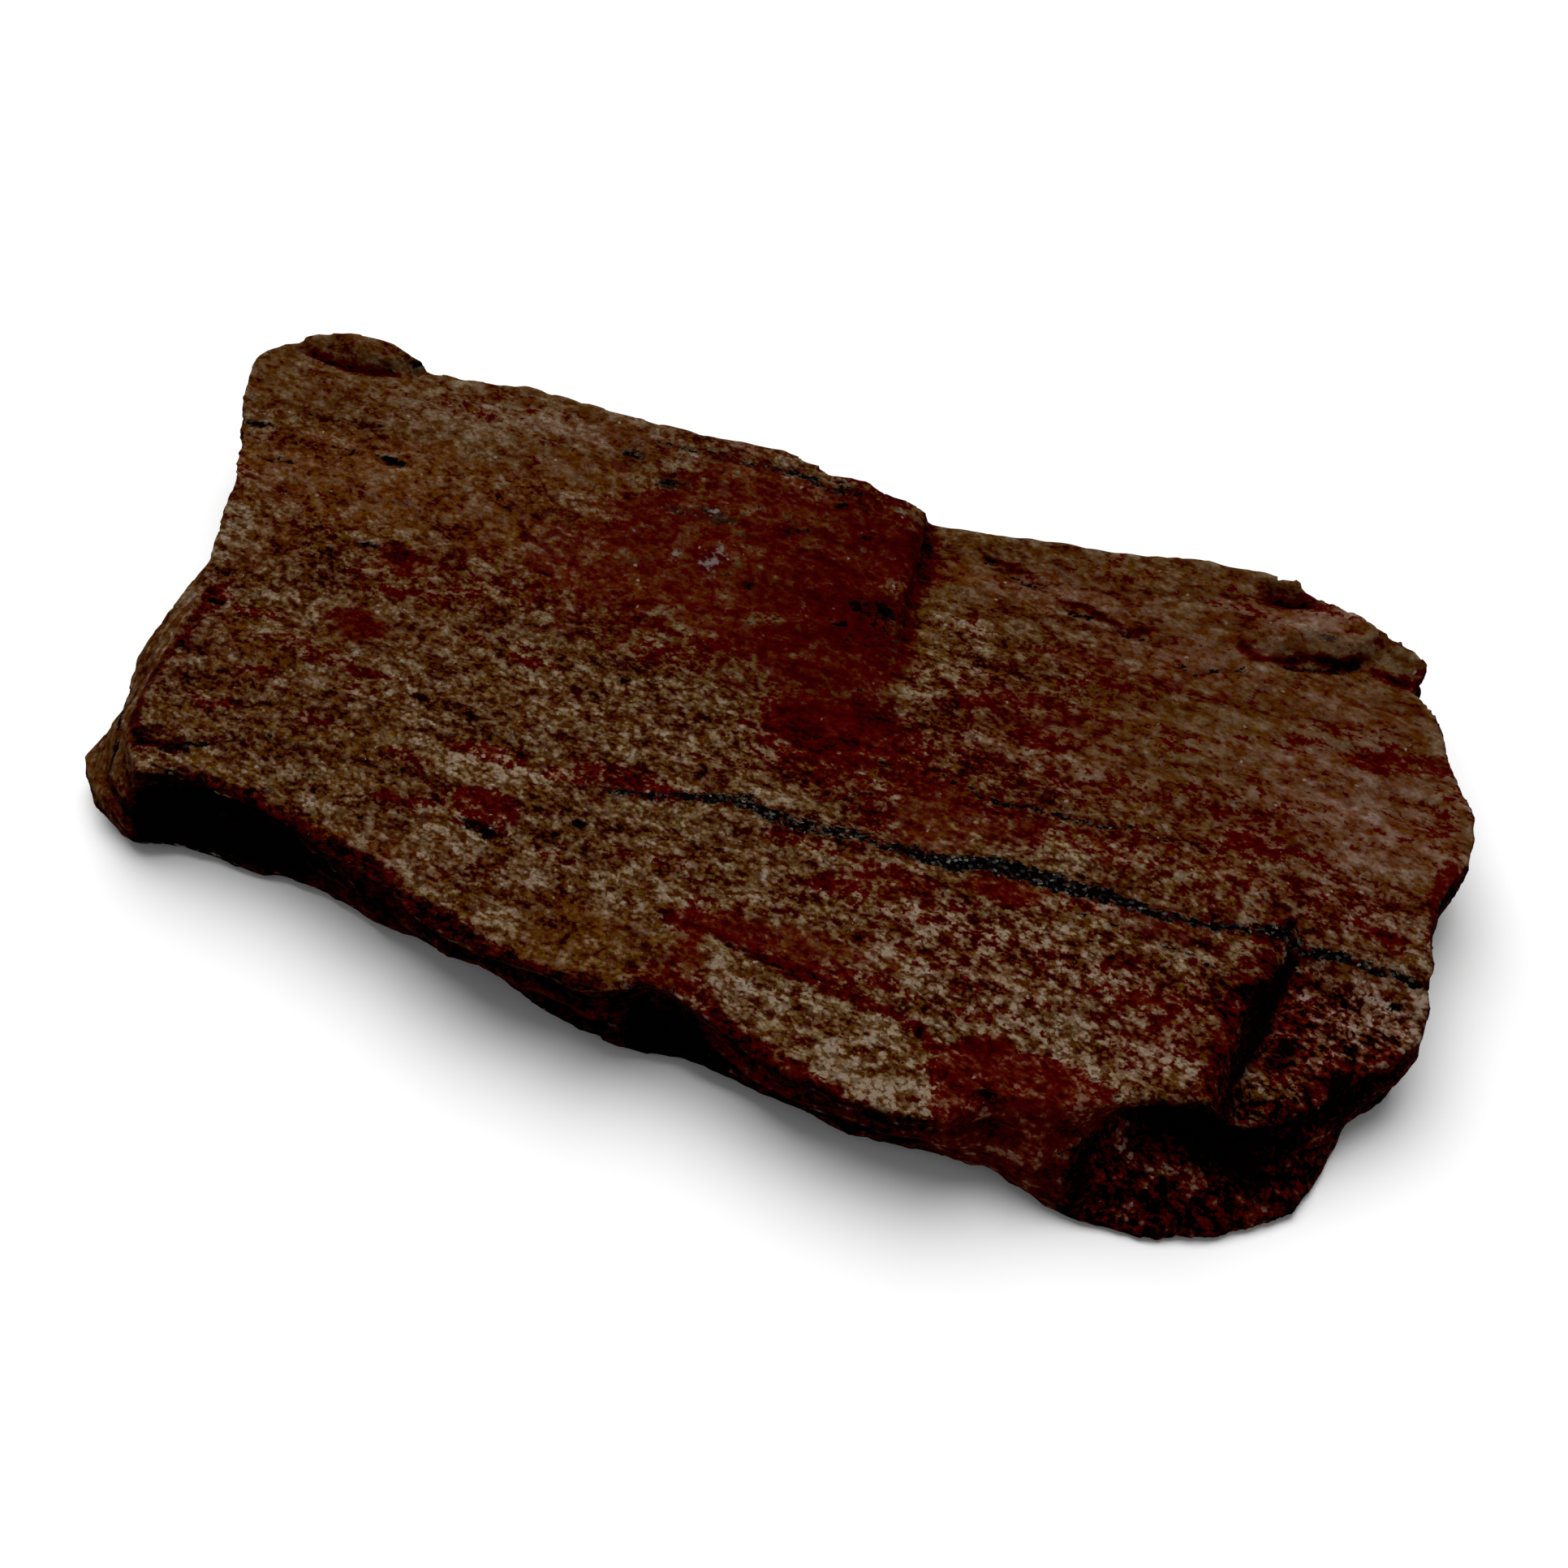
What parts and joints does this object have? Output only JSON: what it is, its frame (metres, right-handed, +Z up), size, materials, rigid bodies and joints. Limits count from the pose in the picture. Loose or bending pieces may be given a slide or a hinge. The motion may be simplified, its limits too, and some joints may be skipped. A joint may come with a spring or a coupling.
{
  "type": "red jasper slab",
  "caption": "Flat, bedded slab of banded red jasper with a raised block, a scarp, a low terrace at one corner and broken, layered sides; it rests on a flat underside.",
  "frame": {"origin": "on the surface the stone rests on, under the middle of its bounding box", "axes": "+Z up, +X along the slab's length with the low front terrace and the toe at the +X end, +Y to the back edge"},
  "size_m": [0.1002, 0.0552, 0.0097],
  "materials": {
    "banded_red_jasper": "matt to silky broken stone: dark red, with tan speckled bands, brick red patches and a black metallic streak"
  },
  "bodies": {
    "root": {"jasper_slab": "banded_red_jasper"}
  },
  "joints": []
}
